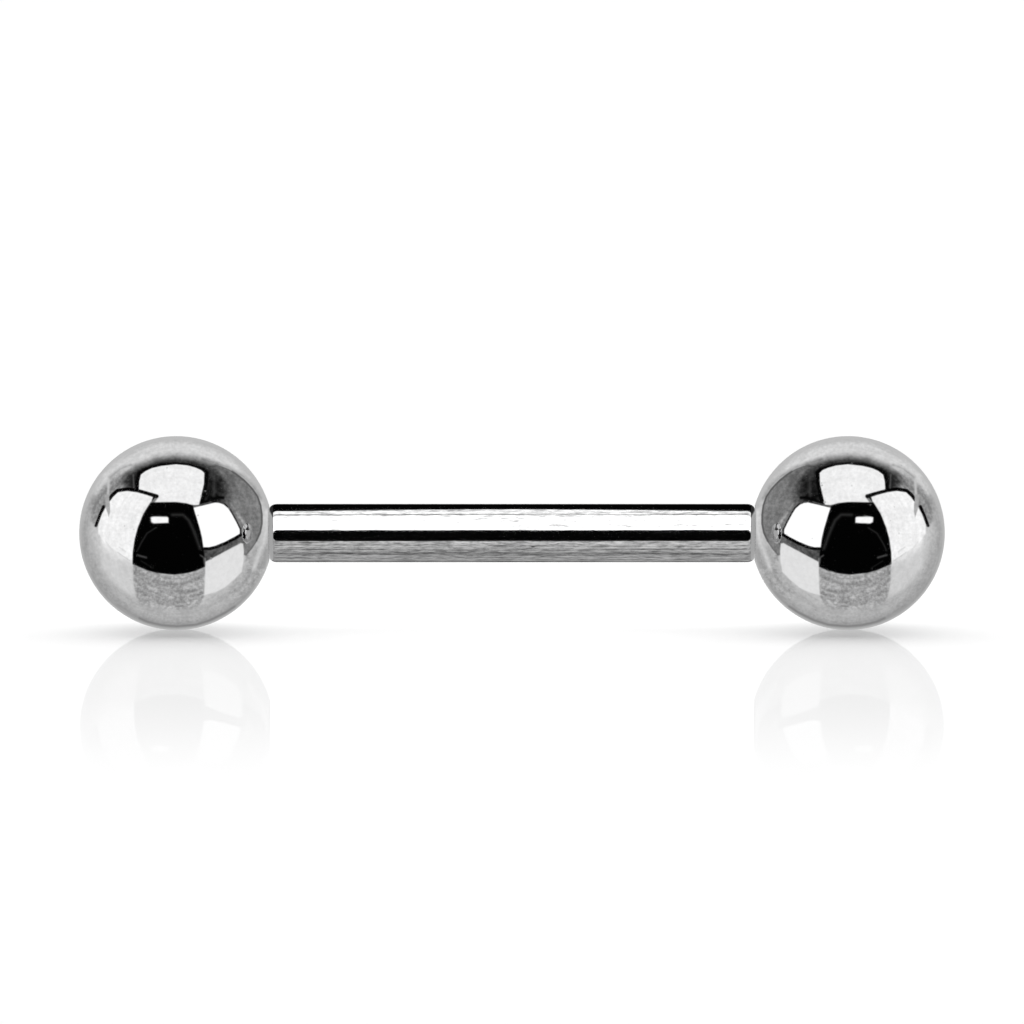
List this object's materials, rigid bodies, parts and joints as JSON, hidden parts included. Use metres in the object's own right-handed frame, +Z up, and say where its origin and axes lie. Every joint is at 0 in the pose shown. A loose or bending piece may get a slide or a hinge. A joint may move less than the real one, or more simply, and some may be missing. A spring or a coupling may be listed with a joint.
{
  "type": "piercing barbell",
  "caption": "Straight body piercing barbell: a polished bar with a threaded post at each end and a screw-on ball on each post.",
  "frame": {"origin": "on the surface that the barbell lies on, under the middle of the bar", "axes": "+X along the bar towards the right ball, +Z up"},
  "size_m": [0.0224, 0.005, 0.005],
  "materials": {
    "bar_polish": "titanium, polished along its length, with fine lengthwise draw lines",
    "ball_polish": "titanium, mirror polished"
  },
  "bodies": {
    "bar": {"bar": "bar_polish"},
    "left_end": {"ball_left": "ball_polish"},
    "right_end": {"ball_right": "ball_polish"}
  },
  "joints": [
    {"name": "left_unscrew", "type": "slide", "parent": "bar", "child": "left_end", "axis": [-1, 0, 0], "range_m": [0, 0.0035]},
    {"name": "right_unscrew", "type": "slide", "parent": "bar", "child": "right_end", "axis": [1, 0, 0], "range_m": [0, 0.0035]}
  ]
}
